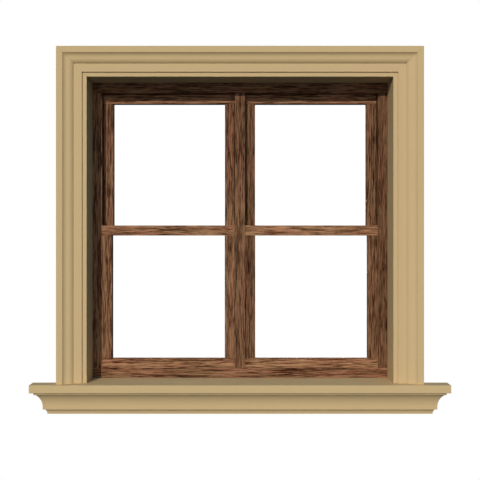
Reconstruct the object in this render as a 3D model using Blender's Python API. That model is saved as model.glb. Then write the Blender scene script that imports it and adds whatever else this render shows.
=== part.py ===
"""A moulded window surround on a moulded sill, with a timber frame and four sliding sashes.

Metres, +Z up, +X to the right, +Y into the wall. The wall's face is the plane y = 0, and the
origin is the centre of the back of the sill's apron, where it lies against the wall.
"""

import math

import bmesh
import bpy

# Gap between pieces that touch, and the clear opening inside the surround
FIT_GAP = 0.0003
OPENING_WIDTH = 1.220
OPENING_HEIGHT = 1.220

# Architrave section, from the opening outwards: width of each band on the face, and how far
# it stands in front of the wall
INNER_BAND_WIDTH = 0.0175
INNER_BAND_PROJECTION = 0.0165
MAIN_BAND_WIDTH = 0.0328
MAIN_BAND_PROJECTION = 0.023
OGEE_WIDTH = 0.0404
OGEE_STEPS = 6
OUTER_FILLET_WIDTH = 0.0248
OUTER_FILLET_PROJECTION = 0.045

# The architrave's return into the wall, which lines the opening
LINING_THICKNESS = 0.020
REVEAL_DEPTH = 0.103

# Sill: a slab with horns past the architrave, and a moulded apron below it
SILL_PROJECTION = 0.060
SILL_HORN = 0.103
SLAB_THICKNESS = 0.0318
APRON_FILLET_SETBACK = 0.014
APRON_FILLET_HEIGHT = 0.0095
COVE_QUIRK = 0.0055
COVE_DEPTH = 0.024
COVE_HEIGHT = 0.0515
COVE_STEPS = 10
APRON_NECK_HEIGHT = 0.012
CAVETTO_PROJECTION = 0.009
CAVETTO_DEPTH = 0.0075
CAVETTO_HEIGHT = 0.020
CAVETTO_STEPS = 4

# Timber frame inside the lining, and what its members show on the face
FRAME_DEPTH = 0.080
FRAME_CLEARANCE = 0.0005
FRAME_HEAD_FACE = 0.042
FRAME_RAIL_FACE = 0.041
FRAME_JAMB_FACE = 0.039
MULLION_FACE = 0.042

# Sashes: two lights side by side, each with a lower sash in front of an upper one
SASH_THICKNESS = 0.033
SASH_PLANE_GAP = 0.0016
SASH_SIDE_CLEARANCE = 0.001
SASH_END_CLEARANCE = 0.0005
STILE_FACE = 0.041
OUTER_RAIL_FACE = 0.038
MEETING_RAIL_FACE = 0.0416

# Guides: a tongue along each side of a sash runs in a groove of the frame
TONGUE_LENGTH = 0.007
TONGUE_THICKNESS = 0.009
GUIDE_CLEARANCE = 0.0005
GROOVE_END_CLEARANCE = 0.001
BACK_STOP_WIDTH = 0.010
BACK_STOP_CLEARANCE = 0.001

# Panes, held in a groove round the inside of each sash
GLASS_THICKNESS = 0.004
GLASS_EDGE_COVER = 0.007
GLASS_CLEARANCE = 0.0004

# Levels and lines that several pieces share
HALF_OPENING = OPENING_WIDTH / 2
ARCHITRAVE_WIDTH = INNER_BAND_WIDTH + MAIN_BAND_WIDTH + OGEE_WIDTH + OUTER_FILLET_WIDTH
APRON_HEIGHT = APRON_FILLET_HEIGHT + COVE_HEIGHT + APRON_NECK_HEIGHT + CAVETTO_HEIGHT
SLAB_UNDERSIDE = APRON_HEIGHT / 2
SILL_TOP = SLAB_UNDERSIDE + SLAB_THICKNESS
OPENING_TOP = SILL_TOP + OPENING_HEIGHT
HALF_SILL = HALF_OPENING + ARCHITRAVE_WIDTH + SILL_HORN
FRAME_FRONT = REVEAL_DEPTH
FRAME_BACK = FRAME_FRONT + FRAME_DEPTH
FRAME_OUTER_X = HALF_OPENING - FRAME_CLEARANCE
LIGHT_OUTER_X = HALF_OPENING - FRAME_JAMB_FACE
LIGHT_INNER_X = MULLION_FACE / 2
LIGHT_BOTTOM = SILL_TOP + FRAME_RAIL_FACE
LIGHT_TOP = OPENING_TOP - FRAME_HEAD_FACE
SASH_HEIGHT = (LIGHT_TOP - LIGHT_BOTTOM + MEETING_RAIL_FACE) / 2
LOWER_SASH_FRONT = FRAME_FRONT
UPPER_SASH_FRONT = LOWER_SASH_FRONT + SASH_THICKNESS + SASH_PLANE_GAP
BACK_STOP_FRONT = UPPER_SASH_FRONT + SASH_THICKNESS + BACK_STOP_CLEARANCE
GROOVE_DEPTH = TONGUE_LENGTH - SASH_SIDE_CLEARANCE + GROOVE_END_CLEARANCE
GROOVE_WIDTH = TONGUE_THICKNESS + 2 * GUIDE_CLEARANCE


def make_material(name, colour, roughness, transmission=0.0):
    """A plain Principled material of one colour."""
    material = bpy.data.materials.new(name)
    material.use_nodes = True
    shader = material.node_tree.nodes["Principled BSDF"]
    shader.inputs["Base Color"].default_value = (*colour, 1.0)
    shader.inputs["Roughness"].default_value = roughness
    shader.inputs["Metallic"].default_value = 0.0
    shader.inputs["Transmission Weight"].default_value = transmission
    material.diffuse_color = (*colour, 1.0)
    return material


def make_object(name, bm, material):
    """Turn a finished bmesh into a named object with its faces pointing out."""
    bmesh.ops.recalc_face_normals(bm, faces=bm.faces)
    mesh = bpy.data.meshes.new(name)
    bm.to_mesh(mesh)
    bm.free()
    mesh.shade_smooth()
    mesh.set_sharp_from_angle(angle=math.radians(24))
    mesh.materials.append(material)
    piece = bpy.data.objects.new(name, mesh)
    bpy.context.scene.collection.objects.link(piece)
    return piece


def bar_between(name, first_ring, last_ring, material):
    """A solid bar between two matching rings of points, closed by a face at each end."""
    bm = bmesh.new()
    first = [bm.verts.new(point) for point in first_ring]
    last = [bm.verts.new(point) for point in last_ring]
    bm.faces.new(first)
    bm.faces.new(last)
    for i in range(len(first)):
        j = (i + 1) % len(first)
        bm.faces.new((first[i], first[j], last[j], last[i]))
    return make_object(name, bm, material)


def upright_bar(name, plan, bottom, top, material):
    """A bar with a plan of (x, y) points, standing from one level to another."""
    return bar_between(
        name,
        [(x, y, bottom) for x, y in plan],
        [(x, y, top) for x, y in plan],
        material,
    )


def box(name, low, high, material):
    """A rectangular block between two corners."""
    plan = [(low[0], low[1]), (high[0], low[1]), (high[0], high[1]), (low[0], high[1])]
    return upright_bar(name, plan, low[2], high[2], material)


def boolean(piece, tool, operation):
    """Cut a piece with a tool, or join the two, by a live exact Boolean."""
    modifier = piece.modifiers.new(operation.title(), "BOOLEAN")
    modifier.operation = operation
    modifier.solver = "EXACT"
    modifier.object = tool


def make_tool(name, low, high):
    """A block that only shapes other pieces: drawn as wire, and left out of the model."""
    tool = box(name, low, high, None)
    tool.hide_render = True
    tool.display_type = "WIRE"
    return tool


def ogee_points(start):
    """The ogee as (distance from the opening, projection): a round, then a hollow.

    Each half is an arc, and the two meet level with the face in the middle.
    """
    half_width = OGEE_WIDTH / 2
    half_rise = (OUTER_FILLET_PROJECTION - MAIN_BAND_PROJECTION) / 2
    sweep = 2 * math.atan2(half_rise, half_width)
    radius = half_width / math.sin(sweep)
    points = []
    for step in range(-OGEE_STEPS, OGEE_STEPS + 1):
        turn = sweep * step / OGEE_STEPS
        rise = math.copysign(radius * (1 - math.cos(turn)), turn)
        points.append((
            start + half_width + radius * math.sin(turn),
            MAIN_BAND_PROJECTION + half_rise + rise,
        ))
    return points


def architrave_section():
    """Section of the surround as (distance out from the opening, y), lining included."""
    main_start = INNER_BAND_WIDTH
    ogee_start = main_start + MAIN_BAND_WIDTH
    face = [
        (0.0, INNER_BAND_PROJECTION),
        (main_start, INNER_BAND_PROJECTION),
        (main_start, MAIN_BAND_PROJECTION),
        *ogee_points(ogee_start),
        (ARCHITRAVE_WIDTH, OUTER_FILLET_PROJECTION),
        (ARCHITRAVE_WIDTH, 0.0),
        (LINING_THICKNESS, 0.0),
    ]
    lining = [(LINING_THICKNESS, FRAME_BACK), (0.0, FRAME_BACK)]
    return [(out, -projection) for out, projection in face] + lining


def make_surround(stone):
    """The two jambs and the head of the surround, mitred together at the top corners."""
    section = architrave_section()
    mitre_gap = FIT_GAP * math.sqrt(2)
    for side_name, side in (("left", -1), ("right", 1)):
        bar_between(
            "surround_jamb_" + side_name,
            [(side * (HALF_OPENING + out), y, SILL_TOP + FIT_GAP) for out, y in section],
            [(side * (HALF_OPENING + out), y, OPENING_TOP + out - mitre_gap)
             for out, y in section],
            stone,
        )
    bar_between(
        "surround_head",
        [(-(HALF_OPENING + out), y, OPENING_TOP + out) for out, y in section],
        [(HALF_OPENING + out, y, OPENING_TOP + out) for out, y in section],
        stone,
    )


def hollow_points(foot, foot_level, depth, height, steps):
    """A hollow as (projection, level) from its top down: an arc that ends upright."""
    sweep = 2 * math.atan2(depth, height)
    radius = height / math.sin(sweep)
    points = []
    for step in range(steps + 1):
        angle = sweep * (1 - step / steps)
        points.append((
            foot + radius * (1 - math.cos(angle)),
            foot_level + radius * math.sin(angle),
        ))
    return points


def sill_profile():
    """The sill's front edge as (projection, level), from its top down to the apron's foot."""
    fillet = SILL_PROJECTION - APRON_FILLET_SETBACK
    fillet_foot_level = SLAB_UNDERSIDE - APRON_FILLET_HEIGHT
    neck = fillet - COVE_QUIRK - COVE_DEPTH
    neck_foot_level = -APRON_HEIGHT / 2 + CAVETTO_HEIGHT
    cove = hollow_points(
        neck, neck_foot_level + APRON_NECK_HEIGHT, COVE_DEPTH, COVE_HEIGHT, COVE_STEPS
    )
    cavetto = hollow_points(
        CAVETTO_PROJECTION - CAVETTO_DEPTH, -APRON_HEIGHT / 2,
        CAVETTO_DEPTH, CAVETTO_HEIGHT, CAVETTO_STEPS
    )
    return [
        (SILL_PROJECTION, SILL_TOP),
        (SILL_PROJECTION, SLAB_UNDERSIDE),
        (fillet, SLAB_UNDERSIDE),
        (fillet, fillet_foot_level),
        *cove,
        (neck, neck_foot_level),
        *cavetto,
    ]


def make_sill(stone):
    """The sill: its moulding returns round both ends, and its slab runs back into the wall."""
    bm = bmesh.new()
    stations = [[], [], [], []]
    for projection, level in sill_profile():
        end = HALF_SILL - SILL_PROJECTION + projection
        for station, (x, y) in enumerate(
            ((-end, 0.0), (-end, -projection), (end, -projection), (end, 0.0))
        ):
            stations[station].append(bm.verts.new((x, y, level)))
    for left, right in zip(stations, stations[1:]):
        for i in range(len(left) - 1):
            bm.faces.new((left[i], left[i + 1], right[i + 1], right[i]))
    bm.faces.new([station[0] for station in stations])
    bm.faces.new([station[-1] for station in stations])
    bm.faces.new(stations[0] + stations[3][::-1])
    sill = make_object("sill", bm, stone)

    half_bearing = HALF_OPENING + LINING_THICKNESS
    bearing = make_tool(
        "sill_bearing_tool",
        (-half_bearing, -SILL_PROJECTION / 2, SLAB_UNDERSIDE),
        (half_bearing, FRAME_BACK, SILL_TOP),
    )
    boolean(sill, bearing, "UNION")


def guide_side(face_x, into):
    """Plan of the side of a frame member that the sashes run on, from front to back."""
    points = [(face_x, FRAME_FRONT)]
    for sash_front in (LOWER_SASH_FRONT, UPPER_SASH_FRONT):
        middle = sash_front + SASH_THICKNESS / 2
        groove_x = face_x + into * GROOVE_DEPTH
        points += [
            (face_x, middle - GROOVE_WIDTH / 2),
            (groove_x, middle - GROOVE_WIDTH / 2),
            (groove_x, middle + GROOVE_WIDTH / 2),
            (face_x, middle + GROOVE_WIDTH / 2),
        ]
    stop_x = face_x - into * BACK_STOP_WIDTH
    points += [(face_x, BACK_STOP_FRONT), (stop_x, BACK_STOP_FRONT), (stop_x, FRAME_BACK)]
    return points


def make_frame(timber):
    """The window frame: head and bottom rail full width, jambs and mullion between them."""
    head_top = OPENING_TOP - FRAME_CLEARANCE
    box("frame_head",
        (-FRAME_OUTER_X, FRAME_FRONT, LIGHT_TOP),
        (FRAME_OUTER_X, FRAME_BACK, head_top), timber)
    box("frame_bottom_rail",
        (-FRAME_OUTER_X, FRAME_FRONT, SILL_TOP + FIT_GAP),
        (FRAME_OUTER_X, FRAME_BACK, LIGHT_BOTTOM), timber)

    bottom = LIGHT_BOTTOM + FIT_GAP
    top = LIGHT_TOP - FIT_GAP
    for side_name, side in (("left", -1), ("right", 1)):
        plan = guide_side(side * LIGHT_OUTER_X, side)
        plan += [(side * FRAME_OUTER_X, FRAME_BACK), (side * FRAME_OUTER_X, FRAME_FRONT)]
        upright_bar("frame_jamb_" + side_name, plan, bottom, top, timber)
    mullion = guide_side(-LIGHT_INNER_X, 1) + guide_side(LIGHT_INNER_X, -1)[::-1]
    upright_bar("frame_mullion", mullion, bottom, top, timber)


def tongued_plan(low_x, high_x, front, low_tongue, high_tongue):
    """Plan of a sash member, with a guide tongue at either end or at both."""
    back = front + SASH_THICKNESS
    middle = front + SASH_THICKNESS / 2
    near = middle - TONGUE_THICKNESS / 2
    far = middle + TONGUE_THICKNESS / 2
    plan = [(low_x, front), (high_x, front)]
    if high_tongue:
        tip = high_x + TONGUE_LENGTH
        plan += [(high_x, near), (tip, near), (tip, far), (high_x, far)]
    plan += [(high_x, back), (low_x, back)]
    if low_tongue:
        tip = low_x - TONGUE_LENGTH
        plan += [(low_x, far), (tip, far), (tip, near), (low_x, near)]
    return plan


def make_sash(prefix, low_x, front, bottom, bottom_rail, top_rail, timber, glass):
    """One sash: rails across its full width, stiles between them, a pane in the groove."""
    width = LIGHT_OUTER_X - LIGHT_INNER_X - 2 * SASH_SIDE_CLEARANCE
    high_x = low_x + width
    height = SASH_HEIGHT - SASH_END_CLEARANCE
    top = bottom + height
    sight_low = (low_x + STILE_FACE, bottom + bottom_rail)
    sight_high = (high_x - STILE_FACE, top - top_rail)
    middle = front + SASH_THICKNESS / 2

    pane_half = GLASS_THICKNESS / 2
    pane_low = (sight_low[0] - GLASS_EDGE_COVER, middle - pane_half,
                sight_low[1] - GLASS_EDGE_COVER)
    pane_high = (sight_high[0] + GLASS_EDGE_COVER, middle + pane_half,
                 sight_high[1] + GLASS_EDGE_COVER)
    box(prefix + "_glass", pane_low, pane_high, glass)
    pocket = make_tool(
        prefix + "_pocket_tool",
        [value - GLASS_CLEARANCE for value in pane_low],
        [value + GLASS_CLEARANCE for value in pane_high],
    )

    rail_plan = tongued_plan(low_x, high_x, front, True, True)
    left_plan = tongued_plan(low_x, low_x + STILE_FACE, front, True, False)
    right_plan = tongued_plan(high_x - STILE_FACE, high_x, front, False, True)
    stile_bottom = sight_low[1] + FIT_GAP
    stile_top = sight_high[1] - FIT_GAP
    members = (
        ("_bottom_rail", rail_plan, bottom, sight_low[1]),
        ("_top_rail", rail_plan, sight_high[1], top),
        ("_stile_left", left_plan, stile_bottom, stile_top),
        ("_stile_right", right_plan, stile_bottom, stile_top),
    )
    for suffix, plan, member_bottom, member_top in members:
        member = upright_bar(prefix + suffix, plan, member_bottom, member_top, timber)
        boolean(member, pocket, "DIFFERENCE")


def make_sashes(timber, glass):
    """The four sashes: a lower and an upper one in the left and in the right light."""
    left_x = -LIGHT_OUTER_X + SASH_SIDE_CLEARANCE
    right_x = LIGHT_INNER_X + SASH_SIDE_CLEARANCE
    lower_bottom = LIGHT_BOTTOM + SASH_END_CLEARANCE
    upper_bottom = LIGHT_TOP - SASH_HEIGHT
    for side_name, low_x in (("left", left_x), ("right", right_x)):
        make_sash("lower_sash_" + side_name, low_x, LOWER_SASH_FRONT, lower_bottom,
                  OUTER_RAIL_FACE, MEETING_RAIL_FACE, timber, glass)
        make_sash("upper_sash_" + side_name, low_x, UPPER_SASH_FRONT, upper_bottom,
                  MEETING_RAIL_FACE, OUTER_RAIL_FACE, timber, glass)


def main():
    """Empty the file, then model every piece in its place."""
    for old in list(bpy.data.objects):
        bpy.data.objects.remove(old)
    stone = make_material("buff_cast_stone", (0.55, 0.38, 0.19), 0.85)
    sill_stone = make_material("buff_sill_stone", (0.52, 0.36, 0.18), 0.85)
    frame_timber = make_material("dark_frame_timber", (0.13, 0.065, 0.035), 0.60)
    sash_timber = make_material("stained_sash_timber", (0.17, 0.085, 0.045), 0.60)
    glass = make_material("clear_glass", (0.95, 0.97, 0.97), 0.02, transmission=1.0)
    make_surround(stone)
    make_sill(sill_stone)
    make_frame(frame_timber)
    make_sashes(sash_timber, glass)


main()
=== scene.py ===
"""Looks of a moulded stone window surround with a timber frame and four sliding sashes.

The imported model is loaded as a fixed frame, in metres, with +Z up and +Y into the wall. Each
stone, timber and glass piece is modelled again in the place of its plain solid, with eased
arrises, and finished as cast stone, stained timber or clear glass.
"""

import logging
import math
from dataclasses import dataclass, field
from enum import Enum
from typing import Callable

import bmesh
import bpy
from bpy.types import Material, Node, NodeSocket, NodeTree, Object
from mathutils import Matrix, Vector


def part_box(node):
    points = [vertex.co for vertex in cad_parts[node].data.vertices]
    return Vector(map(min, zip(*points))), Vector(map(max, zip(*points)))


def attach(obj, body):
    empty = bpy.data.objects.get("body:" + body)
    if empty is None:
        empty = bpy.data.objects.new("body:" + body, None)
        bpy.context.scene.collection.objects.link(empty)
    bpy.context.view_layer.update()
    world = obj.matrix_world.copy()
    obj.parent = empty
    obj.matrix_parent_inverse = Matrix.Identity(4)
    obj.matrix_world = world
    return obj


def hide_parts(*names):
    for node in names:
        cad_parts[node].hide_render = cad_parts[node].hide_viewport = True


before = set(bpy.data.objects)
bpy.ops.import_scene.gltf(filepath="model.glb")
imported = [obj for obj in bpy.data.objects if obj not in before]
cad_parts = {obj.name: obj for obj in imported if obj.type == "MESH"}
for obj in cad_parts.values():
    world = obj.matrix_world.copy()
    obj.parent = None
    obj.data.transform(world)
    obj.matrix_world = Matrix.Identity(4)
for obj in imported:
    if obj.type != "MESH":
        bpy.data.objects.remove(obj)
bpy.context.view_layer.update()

LOG = logging.getLogger("window_surround")
TINY = 0.00002
SMOOTH_ANGLE = math.radians(34)

# Cosines beyond which a face looks one way, and an edge runs along a line
FACING = 0.9
ALONG = 0.99

# A ray's depth is below this as long as it hasn't bounced
UNBOUNCED = 0.5

SIDES = ("left", "right")

Point = tuple[float, float, float]
Colour = tuple[float, float, float]
Test = Callable[[Vector], bool]

X_AXIS: Point = (1.0, 0.0, 0.0)
Y_AXIS: Point = (0.0, 1.0, 0.0)
Z_AXIS: Point = (0.0, 0.0, 1.0)
FRONT: Point = (0.0, -1.0, 0.0)
DOWN: Point = (0.0, 0.0, -1.0)
WHITE: Colour = (1.0, 1.0, 1.0)
BLACK: Colour = (0.0, 0.0, 0.0)
BUFF: Colour = (0.60, 0.413, 0.199)


# Bench work: blocks, and the tools that shape them


def near(first: float, second: float) -> bool:
    """Whether two places are the same, but for rounding."""
    return abs(first - second) < TINY


def anywhere(place: Vector) -> bool:
    """Pass every place."""
    return True


def clear_bench() -> None:
    """Leave edit mode, and select nothing."""
    if bpy.context.mode != "OBJECT":
        bpy.ops.object.mode_set(mode="OBJECT")
    bpy.ops.object.select_all(action="DESELECT")


def to_bench(piece: Object, mode: str) -> None:
    """Make one piece the only selected and active one, in a mode.

    Args:
        piece: The piece to work on.
        mode: "OBJECT" or "EDIT".
    """
    clear_bench()
    bpy.context.view_layer.objects.active = piece
    piece.select_set(True)
    bpy.ops.object.mode_set(mode=mode)


class Workpiece:
    """A piece on the bench, shaped in edit mode and then dressed and hung on its body."""

    def __init__(self, piece: Object) -> None:
        """Take an object to the bench and open it for shaping.

        Args:
            piece: The mesh object to work on.
        """
        self.piece = piece
        to_bench(piece, "EDIT")

    @classmethod
    def block(cls, name: str, low: Point, high: Point) -> "Workpiece":
        """Lay a block between two corners.

        Args:
            name: Name of the new piece.
            low: Its lowest corner.
            high: Its highest corner.

        Returns:
            The block, open for shaping.
        """
        clear_bench()
        bpy.ops.mesh.primitive_cube_add(
            size=1.0,
            location=[(a + b) / 2 for a, b in zip(low, high)],
            scale=[b - a for a, b in zip(low, high)],
        )
        bpy.ops.object.transform_apply(location=True, rotation=True, scale=True)
        piece = bpy.context.object
        piece.name = name
        piece.data.name = name
        return cls(piece)

    def duplicate(self, name: str) -> "Workpiece":
        """Copy the piece, with a mesh of its own.

        Args:
            name: Name of the copy.

        Returns:
            The copy, open for shaping.
        """
        to_bench(self.piece, "OBJECT")
        bpy.ops.object.duplicate(linked=False)
        piece = bpy.context.object
        piece.name = name
        piece.data.name = name
        return Workpiece(piece)

    def _pick(self, kind: str, test: Callable[[object], bool]) -> None:
        """Select only the elements of one kind that pass a test.

        Args:
            kind: "VERT", "EDGE" or "FACE".
            test: Says whether an element is wanted.
        """
        bpy.ops.mesh.select_mode(type=kind)
        bpy.ops.mesh.select_all(action="DESELECT")
        shape = bmesh.from_edit_mesh(self.piece.data)
        elements = {"VERT": shape.verts, "EDGE": shape.edges, "FACE": shape.faces}[kind]
        wanted = [element for element in elements if test(element)]
        if not wanted:
            raise ValueError(f"{self.piece.name}: no {kind.lower()} is where it should be")
        for element in wanted:
            element.select_set(True)
        shape.select_flush_mode()
        bmesh.update_edit_mesh(self.piece.data)

    def pick_faces(self, way: Point, test: Test = anywhere) -> None:
        """Select the faces that look one way, where their centre passes a test."""
        self._pick("FACE", lambda face: face.normal.dot(Vector(way)) > FACING
                   and test(face.calc_center_median()))

    def pick_edges(self, test: Test, line: Point | None = None) -> None:
        """Select edges whose middle passes a test, along a line if one is given.

        Args:
            test: Says whether a middle is wanted.
            line: The way that the edges run, either way round.
        """
        def wanted(edge: bmesh.types.BMEdge) -> bool:
            """Whether one edge passes both."""
            first, last = (point.co for point in edge.verts)
            return test((first + last) / 2) and (
                line is None or abs((last - first).normalized().dot(Vector(line))) > ALONG
            )

        self._pick("EDGE", wanted)

    def pick_points(self, test: Test) -> None:
        """Select points by their place."""
        self._pick("VERT", lambda point: test(point.co))

    def pick_all(self) -> None:
        """Select the whole piece."""
        bpy.ops.mesh.select_mode(type="FACE")
        bpy.ops.mesh.select_all(action="SELECT")

    def score(self, way: Point, place: Point, normal: Point, test: Test = anywhere) -> None:
        """Divide the faces that look one way along a plane, where a test passes them."""
        self.pick_faces(way, test)
        bpy.ops.mesh.bisect(plane_co=place, plane_no=normal, threshold=TINY / 2)

    def saw(self, place: Point, normal: Point) -> None:
        """Cut off what lies beyond a plane, and close the cut with a face."""
        self.pick_all()
        bpy.ops.mesh.bisect(
            plane_co=place, plane_no=normal, use_fill=True, clear_outer=True, threshold=TINY / 2
        )

    def push(self, move: Point) -> None:
        """Extrude the selected faces along a move."""
        bpy.ops.mesh.extrude_region_move(TRANSFORM_OT_translate={"value": move})

    def shift(self, move: Point) -> None:
        """Move what is selected."""
        bpy.ops.transform.translate(value=move)

    def step_in(self, inward: float, along: float = 0.0) -> None:
        """Inset the selected face, and move it along its normal."""
        bpy.ops.mesh.inset(thickness=inward, depth=along, use_even_offset=True)

    def ease(self, width: float, segments: int = 2) -> None:
        """Round the selected arrises slightly."""
        bpy.ops.mesh.bevel(
            offset=width, segments=segments, profile=0.5, affect="EDGES", clamp_overlap=True
        )

    def turn(self, angle: float) -> None:
        """Turn the whole piece about the y axis."""
        self.pick_all()
        bpy.ops.transform.rotate(value=angle, orient_axis="Y", center_override=(0.0, 0.0, 0.0))

    def mirror_x(self) -> None:
        """Mirror the whole piece across the plane x = 0, with its faces out again."""
        self.pick_all()
        bpy.ops.transform.resize(value=(-1.0, 1.0, 1.0), center_override=(0.0, 0.0, 0.0))
        bpy.ops.mesh.normals_make_consistent(inside=False)

    def square_ends(self, low: float, high: float) -> None:
        """Cut both ends of an upright piece square, at two levels."""
        self.saw((0.0, 0.0, low), DOWN)
        self.saw((0.0, 0.0, high), Z_AXIS)

    def stand(self, node: str) -> None:
        """Move the whole piece so that its lowest corner is where a node's is.

        Args:
            node: The node whose place it takes.
        """
        points = [point.co for point in bmesh.from_edit_mesh(self.piece.data).verts]
        low = Vector([min(point[axis] for point in points) for axis in range(3)])
        self.pick_all()
        self.shift(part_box(node)[0] - low)

    def complete(self, node: str, body: str, slot: str, material: Material) -> None:
        """Close the piece, smooth and dress it, and hang it on its body.

        Args:
            node: The node that it stands for.
            body: The body that it rides on.
            slot: The record's slot for its finish; not used.
            material: Its material.
        """
        self.pick_all()
        bpy.ops.mesh.remove_doubles(threshold=TINY / 4)
        bpy.ops.mesh.normals_make_consistent(inside=False)
        to_bench(self.piece, "OBJECT")
        bpy.ops.object.shade_smooth_by_angle(angle=SMOOTH_ANGLE)
        bpy.ops.object.modifier_add(type="WEIGHTED_NORMAL")
        modifier = self.piece.modifiers[-1]
        modifier.keep_sharp = True
        bpy.ops.object.modifier_apply(modifier=modifier.name)
        self.piece.data.materials.clear()
        self.piece.data.materials.append(material)
        self.piece.select_set(False)
        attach(self.piece, body)
        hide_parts(node)
        LOG.info("%s: %d faces, on %s", self.piece.name, len(self.piece.data.polygons), body)


# Finishes


class NodeBench:
    """Adds the nodes of one material or group and links them."""

    def __init__(self, tree: NodeTree) -> None:
        """Keep the tree that the nodes go in."""
        self.tree = tree

    def add(self, kind: str, **settings: object) -> Node:
        """Add a node.

        Args:
            kind: Blender's name for the node.
            **settings: Values for the node's own properties.

        Returns:
            The new node.
        """
        node = self.tree.nodes.new(kind)
        for name, value in settings.items():
            setattr(node, name, value)
        return node

    def join(self, source: object, target: NodeSocket) -> None:
        """Link an output to an input, or set the input to a plain value.

        Args:
            source: The output, or the plain value.
            target: The input.
        """
        if isinstance(source, NodeSocket):
            self.tree.links.new(source, target)
        else:
            target.default_value = source

    def fill(self, node: Node, sources: dict[str, object]) -> Node:
        """Give a node's inputs what they take, by their names.

        Args:
            node: The node.
            sources: An output or a plain value for each input.

        Returns:
            The node.
        """
        for name, source in sources.items():
            self.join(source, node.inputs[name])
        return node

    def feed(self, node: Node, *sources: object) -> NodeSocket:
        """Give a node's first inputs what they take, in their order.

        Args:
            node: The node.
            *sources: An output or a plain value for each input.

        Returns:
            The node's first output.
        """
        for source, target in zip(sources, node.inputs):
            self.join(source, target)
        return node.outputs[0]

    def maths(self, operation: str, first: object, second: object) -> NodeSocket:
        """Combine two values by one operation."""
        return self.feed(self.add("ShaderNodeMath", operation=operation), first, second)

    def vectors(self, operation: str, first: object, second: object) -> NodeSocket:
        """Combine two vectors by one operation."""
        return self.feed(self.add("ShaderNodeVectorMath", operation=operation), first, second)

    def spread(
        self, value: object, low: object, high: object, to_low: float = 0.0, to_high: float = 1.0
    ) -> NodeSocket:
        """Map one range of a value on another, and clamp it there."""
        return self.feed(self.add("ShaderNodeMapRange"), value, low, high, to_low, to_high)

    def mix(self, kind: str, share: object, first: object, second: object) -> NodeSocket:
        """Mix two colours by a share of the second, in one of Blender's ways."""
        node = self.add("ShaderNodeMix", data_type="RGBA", blend_type=kind)
        return self.fill(node, {"Factor": share, "A": first, "B": second}).outputs["Result"]

    def blend(self, share: object, first: object, second: object) -> NodeSocket:
        """Go from one colour to another by a share of the second."""
        return self.mix("MIX", share, first, second)

    def tint(self, first: object, second: object) -> NodeSocket:
        """Multiply two colours."""
        return self.mix("MULTIPLY", 1.0, first, second)

    def bump(self, height: object, strength: float, distance: float) -> NodeSocket:
        """Turn a height into a normal, by a strength and the depth of its relief."""
        sources = {"Strength": strength, "Distance": distance, "Height": height}
        return self.fill(self.add("ShaderNodeBump"), sources).outputs["Normal"]

    def glow(self, colour: object, strength: float = 1.0) -> NodeSocket:
        """Add surroundings of one colour."""
        return self.feed(self.add("ShaderNodeBackground"), colour, strength)

    def choose(self, share: object, first: object, second: object) -> NodeSocket:
        """Mix two shaders by a share of the second."""
        return self.feed(self.add("ShaderNodeMixShader"), share, first, second)

    def give_out(self, outputs: dict[str, NodeSocket]) -> NodeTree:
        """Close a group.

        Args:
            outputs: The value that each of its outputs gives.

        Returns:
            The finished group.
        """
        for label in outputs:
            self.tree.interface.new_socket(label, in_out="OUTPUT", socket_type="NodeSocketFloat")
        self.fill(self.add("NodeGroupOutput"), outputs)
        return self.tree


def rgba(colour: Colour, factor: float = 1.0) -> tuple[float, float, float, float]:
    """A colour, made lighter or darker by a factor, as a socket takes it."""
    return (colour[0] * factor, colour[1] * factor, colour[2] * factor, 1.0)


def new_group(name: str, inputs: dict[str, str]) -> tuple[NodeBench, Node]:
    """Start a shader node group.

    Args:
        name: Its name.
        inputs: The socket type of each input.

    Returns:
        A bench on the new group, and the node that brings its inputs in.
    """
    group = bpy.data.node_groups.new(name, "ShaderNodeTree")
    for label, kind in inputs.items():
        group.interface.new_socket(label, in_out="INPUT", socket_type=kind)
    bench = NodeBench(group)
    return bench, bench.add("NodeGroupInput")


@dataclass(frozen=True)
class Pattern:
    """One noise pattern.

    Fields give its detail and roughness, how fine it is along all axes together and along
    each one, and its share where patterns are added up.
    """

    detail: float
    roughness: float
    scale: float = 1.0
    stretch: Point | None = None
    share: float = 0.0

    def draw(self, bench: NodeBench, place: NodeSocket) -> Node:
        """Draw the pattern.

        Args:
            bench: Where its nodes go.
            place: The place that it depends on.

        Returns:
            The noise node.
        """
        if self.stretch is not None:
            place = bench.vectors("MULTIPLY", place, self.stretch)
        return bench.fill(bench.add("ShaderNodeTexNoise"), {
            "Vector": place,
            "Scale": self.scale,
            "Detail": self.detail,
            "Roughness": self.roughness,
        })


def add_up(bench: NodeBench, drawn: dict[Pattern, Node]) -> NodeSocket:
    """Add up patterns, each by its share.

    Args:
        bench: Where the nodes go.
        drawn: The noise node of each pattern.

    Returns:
        The sum.
    """
    parts = [
        bench.maths("MULTIPLY", noise.outputs[0], pattern.share)
        for pattern, noise in drawn.items()
    ]
    total = parts[0]
    for part in parts[1:]:
        total = bench.maths("ADD", total, part)
    return total


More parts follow.
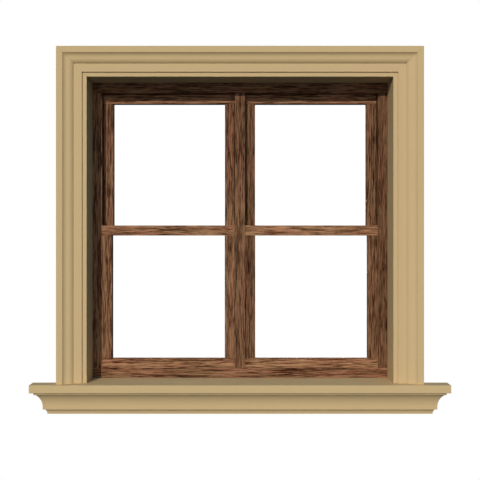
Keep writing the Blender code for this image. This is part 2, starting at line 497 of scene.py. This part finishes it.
class GrainGroup:
    """Streaked open grain that runs along x: broad patches, bands, fine lines and pores."""

    NAME = "streaked_grain"
    WARP = Pattern(2.0, 0.5, stretch=(2.6, 8.0, 8.0))
    WARP_MIDDLE: Point = (0.5, 0.5, 0.5)
    WARP_REACH: Point = (0.0, 0.0035, 0.0035)
    PATCH = Pattern(2.0, 0.5, stretch=(4.0, 42.0, 42.0), share=0.15)
    BAND = Pattern(3.0, 0.55, stretch=(8.0, 230.0, 230.0), share=0.33)
    LINE = Pattern(3.0, 0.6, stretch=(20.0, 620.0, 620.0), share=0.52)
    PORE = Pattern(2.0, 0.5, stretch=(60.0, 1350.0, 1350.0))
    STREAK_MIDDLE = 0.5
    PORE_RANGE = (0.60, 0.70)
    DRIFT_RANGE = (0.35, 0.65)
    STREAK_HEIGHT = 0.4

    def build(self) -> NodeTree:
        """Build the group once.

        Returns:
            The group, with Streak, Drift, Pores and Height as its outputs.
        """
        bench, source = new_group(
            self.NAME, {"Vector": "NodeSocketVector", "Contrast": "NodeSocketFloat"}
        )
        place = source.outputs["Vector"]
        warp = self.WARP.draw(bench, place).outputs["Color"]
        centred = bench.vectors("SUBTRACT", warp, self.WARP_MIDDLE)
        reach = bench.vectors("MULTIPLY", centred, self.WARP_REACH)
        bent = bench.vectors("ADD", place, reach)
        drawn = {layer: layer.draw(bench, bent) for layer in (self.PATCH, self.BAND, self.LINE)}
        half = bench.maths("DIVIDE", 0.5, source.outputs["Contrast"])
        streak = bench.spread(
            add_up(bench, drawn),
            bench.maths("SUBTRACT", self.STREAK_MIDDLE, half),
            bench.maths("ADD", self.STREAK_MIDDLE, half),
        )
        pores = bench.spread(self.PORE.draw(bench, bent).outputs[0], *self.PORE_RANGE)
        raised = bench.maths("MULTIPLY", streak, self.STREAK_HEIGHT)
        parts = bench.add("ShaderNodeSeparateColor")
        bench.join(drawn[self.PATCH].outputs["Color"], parts.inputs[0])
        return bench.give_out({
            "Streak": streak,
            "Drift": bench.spread(parts.outputs[1], *self.DRIFT_RANGE),
            "Pores": pores,
            "Height": bench.maths("SUBTRACT", raised, pores),
        })


class SandGroup:
    """Cast stone: slow clouding of its colour, and sand on its face."""

    NAME = "cast_sand"
    CLOUD = Pattern(4.0, 0.55, scale=5.0, share=0.6)
    PATCH = Pattern(4.0, 0.6, scale=42.0, share=0.4)
    SAND = Pattern(3.0, 0.65, scale=620.0)
    CLOUD_RANGE = (0.35, 0.65)
    SAND_RANGE = (0.3, 0.7)

    def build(self) -> NodeTree:
        """Build the group once.

        Returns:
            The group, with Cloud, Sand and Height as its outputs.
        """
        bench, source = new_group(self.NAME, {"Vector": "NodeSocketVector"})
        place = source.outputs["Vector"]
        drawn = {layer: layer.draw(bench, place) for layer in (self.CLOUD, self.PATCH)}
        sand = self.SAND.draw(bench, place).outputs[0]
        return bench.give_out({
            "Cloud": bench.spread(add_up(bench, drawn), *self.CLOUD_RANGE),
            "Sand": bench.spread(sand, *self.SAND_RANGE),
            "Height": sand,
        })


def start_material(name: str) -> tuple[Material, NodeBench, Node]:
    """Start a material.

    Args:
        name: Its name.

    Returns:
        The material, a bench on its nodes, and its Principled shader.
    """
    material = bpy.data.materials.new(name)
    material.use_nodes = True
    tree = material.node_tree
    return material, NodeBench(tree), tree.nodes["Principled BSDF"]


@dataclass(frozen=True)
class StoneFinish:
    """Smooth matte cast stone.

    Fields give its colour, how far its clouding and its sand's specks go either way, its
    roughness and how far that goes either way, and how its sand is raised.
    """

    name: str
    colour: Colour
    group: NodeTree
    clouding: float = 0.012
    speckle: float = 0.015
    roughness: float = 0.88
    roughness_swing: float = 0.04
    sand_strength: float = 0.35
    sand_depth: float = 0.00012
    gloss: float = 0.05

    def build(self) -> Material:
        """Make the material.

        Returns:
            The finished material.
        """
        material, bench, shader = start_material(self.name)
        sand = bench.add("ShaderNodeGroup", node_tree=self.group)
        bench.join(bench.add("ShaderNodeTexCoord").outputs["Object"], sand.inputs["Vector"])
        clouded = bench.blend(
            sand.outputs["Cloud"],
            rgba(self.colour, 1 - self.clouding),
            rgba(self.colour, 1 + self.clouding),
        )
        specks = bench.blend(
            sand.outputs["Sand"], rgba(WHITE, 1 - self.speckle), rgba(WHITE, 1 + self.speckle)
        )
        smoothest = self.roughness - self.roughness_swing
        roughest = self.roughness + self.roughness_swing
        bench.fill(shader, {
            "Base Color": bench.tint(clouded, specks),
            "Roughness": bench.spread(sand.outputs["Sand"], 0.0, 1.0, smoothest, roughest),
            "Normal": bench.bump(sand.outputs["Height"], self.sand_strength, self.sand_depth),
            "Specular IOR Level": self.gloss,
        })
        return material


class Grain(Enum):
    """The way that a member's grain runs, as the turn that lays it along x."""

    LEVEL = (0.0, 0.0, 0.0)
    UPRIGHT = (0.0, math.pi / 2, 0.0)


@dataclass(frozen=True)
class TimberFinish:
    """Stained streaky timber, cut from one board for each member.

    Fields give the way its grain runs, which board it is and how light, the colours of its
    streaks, pores and slow drift, and its roughness at dark and at light streaks.
    """

    name: str
    group: NodeTree
    grain: Grain
    board: int
    tone: float = 1.0
    board_step: Point = (1.37, 0.61, 0.83)
    light: Colour = (0.350, 0.170, 0.085)
    dark: Colour = (0.042, 0.012, 0.004)
    pore: Colour = (0.024, 0.009, 0.004)
    pore_share: float = 0.55
    ruddy: Colour = (1.04, 0.94, 0.94)
    olive: Colour = (0.97, 1.05, 0.98)
    contrast: float = 8.6
    dark_roughness: float = 0.68
    light_roughness: float = 0.57
    grain_strength: float = 0.5
    grain_depth: float = 0.00025
    gloss: float = 0.02

    def build(self) -> Material:
        """Make the material.

        Returns:
            The finished material.
        """
        material, bench, shader = start_material(self.name)
        mapping = bench.fill(bench.add("ShaderNodeMapping", vector_type="POINT"), {
            "Vector": bench.add("ShaderNodeTexCoord").outputs["Object"],
            "Location": tuple(step * self.board for step in self.board_step),
            "Rotation": self.grain.value,
        })
        grain = bench.fill(bench.add("ShaderNodeGroup", node_tree=self.group), {
            "Vector": mapping.outputs[0],
            "Contrast": self.contrast,
        })
        streak = grain.outputs["Streak"]
        streaked = bench.blend(streak, rgba(self.dark, self.tone), rgba(self.light, self.tone))
        drift = bench.blend(grain.outputs["Drift"], rgba(self.ruddy), rgba(self.olive))
        pored = bench.blend(
            bench.maths("MULTIPLY", grain.outputs["Pores"], self.pore_share),
            bench.tint(streaked, drift),
            rgba(self.pore, self.tone),
        )
        bench.fill(shader, {
            "Base Color": pored,
            "Roughness": bench.spread(streak, 0.0, 1.0, self.dark_roughness, self.light_roughness),
            "Normal": bench.bump(grain.outputs["Height"], self.grain_strength, self.grain_depth),
            "Specular IOR Level": self.gloss,
        })
        return material


@dataclass(frozen=True)
class GlassFinish:
    """Clear window glass."""

    name: str = "clear_pane"
    colour: Colour = (0.985, 0.995, 0.99)
    ior: float = 1.45

    def build(self) -> Material:
        """Make the material.

        Returns:
            The finished material.
        """
        material, bench, shader = start_material(self.name)
        bench.fill(shader, {
            "Base Color": rgba(self.colour),
            "Roughness": 0.0,
            "IOR": self.ior,
            "Transmission Weight": 1.0,
            "Metallic": 0.0,
        })
        return material


# Stone


@dataclass
class Architrave:
    """The moulded jambs and head round the opening, each with its return as a lining.

    Widths are measured outwards from the opening, and projections from the wall's face.
    """

    stone: Material
    inner_band_width: float = 0.0175
    inner_band_projection: float = 0.0165
    main_band_width: float = 0.0328
    main_band_projection: float = 0.023
    ogee_width: float = 0.0404
    ogee_steps: int = 8
    fillet_width: float = 0.0248
    fillet_projection: float = 0.045
    lining_thickness: float = 0.020
    joint_gap: float = 0.0003
    arris: float = 0.0009
    spare: float = 0.05
    half_opening: float = field(init=False)
    opening_top: float = field(init=False)
    foot: float = field(init=False)
    back: float = field(init=False)

    def __post_init__(self) -> None:
        """Take the opening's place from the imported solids."""
        low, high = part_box("surround_jamb_left")
        self.half_opening = -high.x
        self.foot = low.z
        self.back = high.y
        self.opening_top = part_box("surround_head")[0].z

    @property
    def ogee_start(self) -> float:
        """Distance from the opening to the ogee."""
        return self.inner_band_width + self.main_band_width

    @property
    def ogee_end(self) -> float:
        """Distance from the opening to the outer fillet."""
        return self.ogee_start + self.ogee_width

    @property
    def width(self) -> float:
        """Width of the whole moulding."""
        return self.ogee_end + self.fillet_width

    def ogee_rows(self) -> list[tuple[float, float]]:
        """Draw the ogee: a round and then a hollow, two arcs that meet level in the middle.

        Returns:
            The distance from its inner edge and the rise of each row of its face.
        """
        half_width = self.ogee_width / 2
        half_rise = (self.fillet_projection - self.main_band_projection) / 2
        sweep = 2 * math.atan2(half_rise, half_width)
        radius = half_width / math.sin(sweep)
        rows = []
        for step in range(-self.ogee_steps, self.ogee_steps + 1):
            turn = sweep * step / self.ogee_steps
            rise = math.copysign(radius * (1 - math.cos(turn)), turn)
            rows.append((half_width + radius * math.sin(turn), half_rise + rise))
        return rows

    def run(self, name: str, low: float, high: float) -> Workpiece:
        """Mould an upright length, on the left of the opening.

        Args:
            name: Name of the piece.
            low: Level of its foot.
            high: Level of its top.

        Returns:
            The moulded length, open for shaping, with its ends left square.
        """
        edge = -self.half_opening
        outer = edge - self.width
        work = Workpiece.block(name, (outer, -self.inner_band_projection, low), (edge, 0.0, high))
        rows = self.ogee_rows()
        for out in [self.inner_band_width] + [self.ogee_start + row[0] for row in rows]:
            work.score(FRONT, (edge - out, 0.0, 0.0), X_AXIS)

        def raise_face(beyond: float, rise: float) -> None:
            """Extrude the face forwards, from one line outwards."""
            work.pick_faces(FRONT, lambda centre: centre.x < edge - beyond)
            work.push((0.0, -rise, 0.0))

        def raise_row(x: float, rise: float) -> None:
            """Move one row of the face's points forwards."""
            work.pick_points(lambda co: near(co.x, x) and near(co.y, -self.main_band_projection))
            work.shift((0.0, -rise, 0.0))

        raise_face(self.inner_band_width, self.main_band_projection - self.inner_band_projection)
        for out, rise in rows[1:]:
            raise_row(edge - self.ogee_start - out, rise)
        raise_row(outer, rows[-1][1])

        lining = edge - self.lining_thickness
        work.score(Y_AXIS, (lining, 0.0, 0.0), X_AXIS)
        work.pick_faces(Y_AXIS, lambda centre: centre.x > lining)
        work.push((0.0, self.back, 0.0))
        self.ease_arrises(work)
        return work

    def ease_arrises(self, work: Workpiece) -> None:
        """Ease the long arrises of a moulded length.

        Args:
            work: The length, open for shaping.
        """
        for out, projection in (
            (0.0, self.inner_band_projection),
            (self.inner_band_width, self.main_band_projection),
            (self.width, self.fillet_projection),
        ):
            x = -self.half_opening - out
            work.pick_edges(
                lambda middle: near(middle.x, x) and near(middle.y, -projection), Z_AXIS
            )
            work.ease(self.arris)

    def build(self) -> None:
        """Model the two jambs and the head, mitred at the corners."""
        top = self.opening_top + self.width
        gap = self.joint_gap * math.sqrt(2)
        left = self.run("stone_jamb_left", self.foot - self.spare, top + self.spare)
        left.saw((0.0, 0.0, self.foot), DOWN)
        left.saw((-self.half_opening, 0.0, self.opening_top - gap), (1.0, 0.0, 1.0))
        right = left.duplicate("stone_jamb_right")
        right.mirror_x()
        self.build_head()
        for side, jamb in zip(SIDES, (left, right)):
            to_bench(jamb.piece, "EDIT")
            jamb.complete("surround_jamb_" + side, "surround", "surround_stone", self.stone)

    def build_head(self) -> None:
        """Model the head from a length laid on its side."""
        reach = self.half_opening + self.width + self.spare
        head = self.run("stone_head", -reach, reach)
        head.turn(-math.pi / 2)
        head.shift((0.0, 0.0, self.opening_top - self.half_opening))
        for side in (-1.0, 1.0):
            head.saw((side * self.half_opening, 0.0, self.opening_top), (side, 0.0, -1.0))
        head.complete("surround_head", "surround", "surround_stone", self.stone)


@dataclass
class Sill:
    """The sill: a slab that runs back under the frame, over a moulded apron.

    Its moulding returns round both ends. Projections are measured from the wall's face.
    """

    stone: Material
    slab_thickness: float = 0.0318
    projection: float = 0.060
    fillet_setback: float = 0.014
    fillet_height: float = 0.0095
    cove_quirk: float = 0.0055
    cove_depth: float = 0.024
    cove_height: float = 0.0515
    cove_steps: int = 12
    neck_height: float = 0.012
    cavetto_projection: float = 0.009
    cavetto_depth: float = 0.0075
    cavetto_height: float = 0.020
    cavetto_steps: int = 6
    half_bearing: float = 0.630
    arris: float = 0.0011

    def hollow(self, depth: float, height: float, steps: int) -> list[tuple[float, float]]:
        """Draw a hollow from its top down, as an arc that ends upright.

        Args:
            depth: How far it goes in.
            height: How far it goes down.
            steps: How many rows of faces it has.

        Returns:
            For each row, how far the face goes in and how far it goes down.
        """
        sweep = 2 * math.atan2(depth, height)
        radius = height / math.sin(sweep)
        rows = []
        for step in range(steps):
            above = sweep * (1 - step / steps)
            below = sweep * (1 - (step + 1) / steps)
            rows.append((
                radius * (math.cos(below) - math.cos(above)),
                radius * (math.sin(above) - math.sin(below)),
            ))
        return rows

    def build(self) -> None:
        """Model the sill, from its slab down and then back into the wall."""
        low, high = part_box("sill")
        half = high.x
        underside = high.z - self.slab_thickness
        reach = self.projection
        work = Workpiece.block("stone_sill", (-half, -reach, underside), (half, reach, high.z))
        work.pick_faces(DOWN)
        work.step_in(self.fillet_setback)
        work.push((0.0, 0.0, -self.fillet_height))
        work.step_in(self.cove_quirk)
        for inward, down in self.hollow(self.cove_depth, self.cove_height, self.cove_steps):
            work.step_in(inward, down)
        work.push((0.0, 0.0, -self.neck_height))
        neck = self.projection - self.fillet_setback - self.cove_quirk - self.cove_depth
        work.step_in(neck - self.cavetto_projection)
        cavetto = (self.cavetto_depth, self.cavetto_height, self.cavetto_steps)
        for inward, down in self.hollow(*cavetto):
            work.step_in(inward, down)
        self.ease_arrises(work, half, underside, high.z)

        work.saw((0.0, 0.0, 0.0), Y_AXIS)
        work.score(Y_AXIS, (0.0, 0.0, underside), Z_AXIS)
        for x in (-self.half_bearing, self.half_bearing):
            work.score(Y_AXIS, (x, 0.0, 0.0), X_AXIS, lambda centre: centre.z > underside)
        work.pick_faces(
            Y_AXIS, lambda centre: centre.z > underside and abs(centre.x) < self.half_bearing
        )
        work.push((0.0, high.y, 0.0))
        work.complete("sill", "surround", "sill_stone", self.stone)

    def ease_arrises(self, work: Workpiece, half: float, underside: float, top: float) -> None:
        """Ease the arrises of the slab, its corners and the fillet under it.

        Args:
            work: The sill, open for shaping.
            half: Half the slab's length.
            underside: Level of the slab's underside.
            top: Level of the slab's top.
        """
        fillet_foot = underside - self.fillet_height
        for level, setback in ((top, 0.0), (underside, 0.0), (fillet_foot, self.fillet_setback)):
            work.pick_edges(
                lambda middle: near(middle.z, level)
                and (
                    near(abs(middle.x), half - setback)
                    or near(abs(middle.y), self.projection - setback)
                )
            )
            work.ease(self.arris)
        work.pick_edges(
            lambda middle: near(abs(middle.x), half) and underside < middle.z < top, Z_AXIS
        )
        work.ease(self.arris)


# Timber and glass


@dataclass
class TimberYard:
    """Cuts each member's timber from a board of its own."""

    group: NodeTree
    boards: int = 0

    def cut(self, name: str, grain: Grain, tone: float) -> Material:
        """Finish the next board.

        Args:
            name: The member that it is for.
            grain: The way that the member's grain runs.
            tone: How light the board is.

        Returns:
            The board's material.
        """
        self.boards += 1
        return TimberFinish(name + "_timber", self.group, grain, self.boards, tone).build()


# How light each frame member's board is. The left jamb's tone is partly its board and partly
# painted light: it is raised to lighten the shade that falls on that jamb.
FRAME_TONES_AND_PAINTED_LIGHT = {
    "frame_head": 0.85,
    "frame_bottom_rail": 1.00,
    # Painted light: this jamb lies mostly in shade, and its lighter tone lifts that shade.
    "frame_jamb_left": 0.97,
    "frame_jamb_right": 0.65,
    "frame_mullion": 0.81,
}


@dataclass
class WindowFrame:
    """The timber frame: a head and a bottom rail, with grooved jambs and a grooved mullion."""

    yard: TimberYard
    groove_depth: float = 0.007
    groove_width: float = 0.010
    stop_width: float = 0.010
    stop_clearance: float = 0.001
    arris: float = 0.0008
    spare: float = 0.02

    def lands(self) -> tuple[list[tuple[float, float]], float]:
        """Find where the faces between the guide grooves lie.

        Returns:
            The front and back of each land, and the front of the back stop.
        """
        front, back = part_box("frame_mullion")
        edges = [front.y]
        for sash in ("lower", "upper"):
            low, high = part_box(sash + "_sash_left_stile_left")
            middle = (low.y + high.y) / 2
            edges += [middle - self.groove_width / 2, middle + self.groove_width / 2]
        edges.append(back.y)
        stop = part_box("upper_sash_left_stile_left")[1].y + self.stop_clearance
        return list(zip(edges[::2], edges[1::2])), stop

    def groove(self, work: Workpiece, core: float, side: int) -> None:
        """Raise the lands and the back stop on one side of a member.

        Args:
            work: The member's core, open for shaping.
            core: Where the bottom of the grooves is.
            side: The way that this side faces, 1 for +x and -1 for -x.
        """
        lands, stop = self.lands()
        way = (side, 0.0, 0.0)
        for edge in [edge for land in lands for edge in land][1:-1] + [stop]:
            work.score(way, (0.0, edge, 0.0), Y_AXIS)
        work.pick_faces(way, lambda centre: any(low < centre.y < high for low, high in lands))
        work.push((side * self.groove_depth, 0.0, 0.0))
        face = core + side * self.groove_depth
        work.pick_faces(way, lambda centre: near(centre.x, face) and centre.y > stop)
        work.push((side * self.stop_width, 0.0, 0.0))
        front = lands[0][0]
        tip = face + side * self.stop_width
        work.pick_edges(
            lambda middle: (near(middle.x, face) and near(middle.y, front))
            or (near(middle.x, tip) and middle.y > stop - TINY),
            Z_AXIS,
        )
        work.ease(self.arris)

    def model_upright(self, name: str, node: str, sides: tuple[int, ...]) -> Workpiece:
        """Model a jamb or the mullion.

        Args:
            name: Name of the piece.
            node: The node whose place it takes.
            sides: The sides that are grooved, 1 for +x and -1 for -x.

        Returns:
            The member, open for shaping.
        """
        low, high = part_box(node)
        core = high.x - self.stop_width - self.groove_depth
        start = -core if -1 in sides else low.x
        work = Workpiece.block(
            name, (start, low.y, low.z - self.spare), (core, high.y, high.z + self.spare)
        )
        for side in sides:
            self.groove(work, side * core, side)
        work.square_ends(low.z, high.z)
        return work

    def dress(self, work: Workpiece, node: str, grain: Grain) -> None:
        """Dress a member in timber from a board of its own."""
        # The tone is the board's own, and for the left jamb it also carries painted light that
        # lightens its shade.
        timber = self.yard.cut(node, grain, FRAME_TONES_AND_PAINTED_LIGHT[node])
        work.complete(node, "surround", "frame_timber", timber)

    def build_level(self, node: str) -> None:
        """Model the head or the bottom rail.

        Args:
            node: The node that it stands for.
        """
        low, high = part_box(node)
        work = Workpiece.block(node.replace("frame", "timber"), tuple(low), tuple(high))
        work.pick_edges(anywhere, X_AXIS)
        work.ease(self.arris)
        self.dress(work, node, Grain.LEVEL)

    def build(self) -> None:
        """Model the head, the bottom rail, the jambs and the mullion."""
        self.build_level("frame_head")
        self.build_level("frame_bottom_rail")
        left = self.model_upright("timber_jamb_left", "frame_jamb_left", (1,))
        right = left.duplicate("timber_jamb_right")
        right.turn(math.pi)
        right.stand("frame_jamb_right")
        mullion = self.model_upright("timber_mullion", "frame_mullion", (-1, 1))
        for part, work in (("jamb_left", left), ("jamb_right", right), ("mullion", mullion)):
            to_bench(work.piece, "EDIT")
            self.dress(work, "frame_" + part, Grain.UPRIGHT)


@dataclass(frozen=True)
class SashTones:
    """How light the board of each member of a sash is."""

    bottom_rail: float
    top_rail: float
    stile_left: float
    stile_right: float


SASH_TONES = {
    "lower_sash_left": SashTones(1.24, 1.33, 0.92, 0.99),
    "lower_sash_right": SashTones(1.36, 1.39, 0.65, 0.79),
    "upper_sash_left": SashTones(1.20, 1.10, 0.91, 0.87),
    "upper_sash_right": SashTones(1.20, 1.10, 0.69, 0.80),
}


@dataclass
class Sashes:
    """Four sashes of one pattern: a lower and an upper one in each light.

    One outer rail, one meeting rail, one stile and one pane are modelled, and then copied.
    """

    yard: TimberYard
    glass: Material
    tongue_length: float = 0.007
    tongue_thickness: float = 0.009
    pane_clearance: float = 0.0004
    arris: float = 0.0008
    pane_seam: float = 0.0005
    spare: float = 0.02
    model: str = "lower_sash_left"

    def middle(self) -> float:
        """The middle of the modelled sash's thickness."""
        low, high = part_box(self.model + "_glass")
        return (low.y + high.y) / 2

    def pocket(self) -> tuple[Vector, Vector]:
        """Find the corners of the hollow that holds the pane.

        Returns:
            Its lowest and its highest corner.
        """
        low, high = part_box(self.model + "_glass")
        room = Vector((self.pane_clearance,) * 3)
        return low - room, high + room

    def tongue(self, work: Workpiece, side: int) -> None:
        """Raise a guide tongue on one side of a member.

        Args:
            work: The member, open for shaping.
            side: The way that this side faces, 1 for +x and -1 for -x.
        """
        half = self.tongue_thickness / 2
        way = (side, 0.0, 0.0)
        for offset in (-half, half):
            work.score(way, (0.0, self.middle() + offset, 0.0), Y_AXIS)
        work.pick_faces(way, lambda centre: abs(centre.y - self.middle()) < half)
        work.push((side * self.tongue_length, 0.0, 0.0))

    def model_rail(self, part: str, inner: int) -> Workpiece:
        """Model a rail, with a tongue on each end and a pocket for the pane.

        Args:
            part: The rail's name within its sash.
            inner: The way that its inner side faces, 1 for +z and -1 for -z.

        Returns:
            The rail, open for shaping.
        """
        low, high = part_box(f"{self.model}_{part}")
        pocket_low, pocket_high = self.pocket()
        work = Workpiece.block(
            f"{self.model}_{part}_made",
            (low.x + self.tongue_length, low.y, low.z),
            (high.x - self.tongue_length, high.y, high.z),
        )
        work.pick_edges(anywhere, X_AXIS)
        work.ease(self.arris)
        for line in (X_AXIS, Y_AXIS):
            for corner in (pocket_low, pocket_high):
                work.score((0.0, 0.0, inner), tuple(corner), line)
        work.pick_faces(
            (0.0, 0.0, inner),
            lambda centre: pocket_low.x < centre.x < pocket_high.x
            and pocket_low.y < centre.y < pocket_high.y,
        )
        depth = high.z - pocket_low.z if inner > 0 else pocket_high.z - low.z
        work.push((0.0, 0.0, -inner * depth))
        for side in (-1, 1):
            self.tongue(work, side)
        return work

    def model_stile(self) -> Workpiece:
        """Model a left stile, with its tongue and the groove for the pane.

        Returns:
            The stile, open for shaping.
        """
        low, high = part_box(self.model + "_stile_left")
        pocket_low, pocket_high = self.pocket()
        outer = low.x + self.tongue_length
        work = Workpiece.block(
            self.model + "_stile_left_made",
            (outer, low.y, low.z - self.spare),
            (pocket_low.x, high.y, high.z + self.spare),
        )
        for corner in (pocket_low, pocket_high):
            work.score(X_AXIS, tuple(corner), Y_AXIS)
        work.pick_faces(X_AXIS, lambda centre: not pocket_low.y < centre.y < pocket_high.y)
        work.push((high.x - pocket_low.x, 0.0, 0.0))
        work.pick_edges(lambda middle: near(middle.y, low.y) or near(middle.y, high.y), Z_AXIS)
        work.ease(self.arris)
        self.tongue(work, -1)
        work.square_ends(low.z, high.z)
        return work

    def model_pane(self) -> Workpiece:
        """Model a pane with its edges seamed.

        Returns:
            The pane, open for shaping.
        """
        low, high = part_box(self.model + "_glass")
        work = Workpiece.block(self.model + "_glass_made", tuple(low), tuple(high))
        work.pick_edges(lambda middle: near(middle.y, low.y) or near(middle.y, high.y))
        work.ease(self.pane_seam, 1)
        return work

    def place(self, model: Workpiece, sash: str, part: str, turned: bool = False) -> None:
        """Copy a modelled member to its place in a sash and dress it.

        Args:
            model: The modelled member.
            sash: The sash that the copy belongs to.
            part: The copy's name within the sash.
            turned: Whether the copy is turned half round, as its opposite.
        """
        node = f"{sash}_{part}"
        copy = model.duplicate("made_" + node)
        if turned:
            copy.turn(math.pi)
        copy.stand(node)
        if part == "glass":
            copy.complete(node, sash, "pane_glass", self.glass)
            copy.piece.visible_shadow = False
            return
        grain = Grain.LEVEL if "rail" in part else Grain.UPRIGHT
        slot = "sash_rail_timber" if "rail" in part else "sash_stile_timber"
        tone = getattr(SASH_TONES[sash], part)
        copy.complete(node, sash, slot, self.yard.cut(node, grain, tone))

    def build(self) -> None:
        """Model each member once, and put its copies in all four sashes."""
        outer_rail = self.model_rail("bottom_rail", 1)
        meeting_rail = self.model_rail("top_rail", -1)
        stile = self.model_stile()
        pane = self.model_pane()
        for side in SIDES:
            lower = "lower_sash_" + side
            upper = "upper_sash_" + side
            self.place(outer_rail, lower, "bottom_rail")
            self.place(meeting_rail, lower, "top_rail")
            self.place(meeting_rail, upper, "bottom_rail", turned=True)
            self.place(outer_rail, upper, "top_rail", turned=True)
            for sash in (lower, upper):
                self.place(stile, sash, "stile_left")
                self.place(stile, sash, "stile_right", turned=True)
                self.place(pane, sash, "glass")
        for model in (outer_rail, meeting_rail, stile, pane):
            to_bench(model.piece, "OBJECT")
            bpy.ops.object.delete()


# Studio


@dataclass(frozen=True)
class Lamp:
    """One far lamp.

    Fields give the way that its light goes, its strength, the angle that it fills, in degrees,
    and whether surfaces that it grazes shine with it.
    """

    name: str
    travel: Point
    strength: float
    spread: float
    gloss: bool = True

    def hang(self) -> None:
        """Hang the lamp in the scene."""
        data = bpy.data.lights.new(self.name, "SUN")
        data.energy = self.strength
        data.angle = math.radians(self.spread)
        lamp = bpy.data.objects.new(self.name, data)
        lamp.rotation_euler = Vector(self.travel).to_track_quat("-Z", "Y").to_euler()
        lamp.visible_transmission = False
        lamp.visible_glossy = self.gloss
        bpy.context.scene.collection.objects.link(lamp)


LAMPS = (
    Lamp("key_lamp", (0.305, 1.0, -0.455), 2.25, 0.6),
    Lamp("fill_lamp", (0.0, 1.0, -0.1), 0.69, 70.0),
    Lamp("back_lamp", (0.0, -1.0, 0.0), 1.3, 2.0, gloss=False),
    Lamp("left_lamp", (1.0, -0.06, 0.0), 1.0, 2.0, gloss=False),
    Lamp("right_lamp", (-1.0, -0.06, 0.0), 1.0, 2.0, gloss=False),
)


@dataclass(frozen=True)
class Studio:
    """The camera, the lights, the plain pale floor and the white surroundings."""

    camera_place: Point = (0.0, -3.044, 0.6483)
    field_of_view: float = 35.0
    above: Colour = (0.115, 0.235, 0.40)
    below: Colour = (0.0, 0.03, 0.06)
    sky_range: tuple[float, float] = (-0.25, 0.6)
    through_glass: float = 1.10
    floor_level: float = -1.0
    floor_size: float = 14.0

    def build_camera(self) -> None:
        """Stand the camera level, straight in front of the window."""
        data = bpy.data.cameras.new("camera")
        data.angle = math.radians(self.field_of_view)
        camera = bpy.data.objects.new("camera", data)
        camera.location = self.camera_place
        camera.rotation_euler = (math.pi / 2, 0.0, 0.0)
        bpy.context.scene.collection.objects.link(camera)
        bpy.context.scene.camera = camera

    def build_floor(self) -> None:
        """Lay the plain pale floor well below, as the object hangs on a wall."""
        clear_bench()
        bpy.ops.mesh.primitive_plane_add(size=self.floor_size, location=(0, 0, self.floor_level))
        floor = bpy.context.object
        floor.name = "floor"
        material, bench, shader = start_material("pale_floor")
        bench.fill(shader, {
            "Base Color": rgba(BLACK),
            "Specular IOR Level": 0.0,
            "Emission Color": rgba(WHITE),
            "Emission Strength": 1.0,
        })
        floor.data.materials.append(material)
        for ray in ("diffuse", "glossy", "transmission", "shadow"):
            setattr(floor, "visible_" + ray, False)

    def build_world(self) -> None:
        """Set white surroundings for the eye, and a dim cool sky for the light on the stone."""
        world = bpy.data.worlds.new("surroundings")
        bpy.context.scene.world = world
        world.use_nodes = True
        world.node_tree.nodes.clear()
        bench = NodeBench(world.node_tree)
        way = bench.add("ShaderNodeSeparateXYZ")
        bench.join(bench.add("ShaderNodeTexCoord").outputs["Generated"], way.inputs[0])
        height = bench.spread(way.outputs["Z"], *self.sky_range)
        sky = bench.glow(bench.blend(height, rgba(self.below), rgba(self.above)))
        path = bench.add("ShaderNodeLightPath").outputs
        direct = bench.maths("LESS_THAN", path["Diffuse Depth"], UNBOUNCED)
        clear = bench.maths("LESS_THAN", path["Glossy Depth"], UNBOUNCED)
        unturned = bench.maths("MULTIPLY", direct, clear)
        by_glass = bench.maths("MULTIPLY", path["Is Transmission Ray"], unturned)
        lit = bench.choose(by_glass, sky, bench.glow(rgba(WHITE), self.through_glass))
        shown = bench.choose(path["Is Camera Ray"], lit, bench.glow(rgba(WHITE)))
        bench.fill(bench.add("ShaderNodeOutputWorld"), {"Surface": shown})

    def build(self) -> None:
        """Set up the whole studio."""
        bpy.context.scene.view_settings.view_transform = "Standard"
        self.build_camera()
        for lamp in LAMPS:
            lamp.hang()
        self.build_floor()
        self.build_world()


def main() -> None:
    """Build the studio, the stone, the frame and the sashes, in that order."""
    logging.basicConfig(level=logging.INFO, format="%(name)s: %(message)s")
    Studio().build()
    sand = SandGroup().build()
    Architrave(StoneFinish("cast_surround", BUFF, sand).build()).build()
    Sill(StoneFinish("cast_sill", BUFF, sand).build()).build()
    yard = TimberYard(GrainGroup().build())
    WindowFrame(yard).build()
    Sashes(yard, GlassFinish().build()).build()


if __name__ == "__main__":
    main()
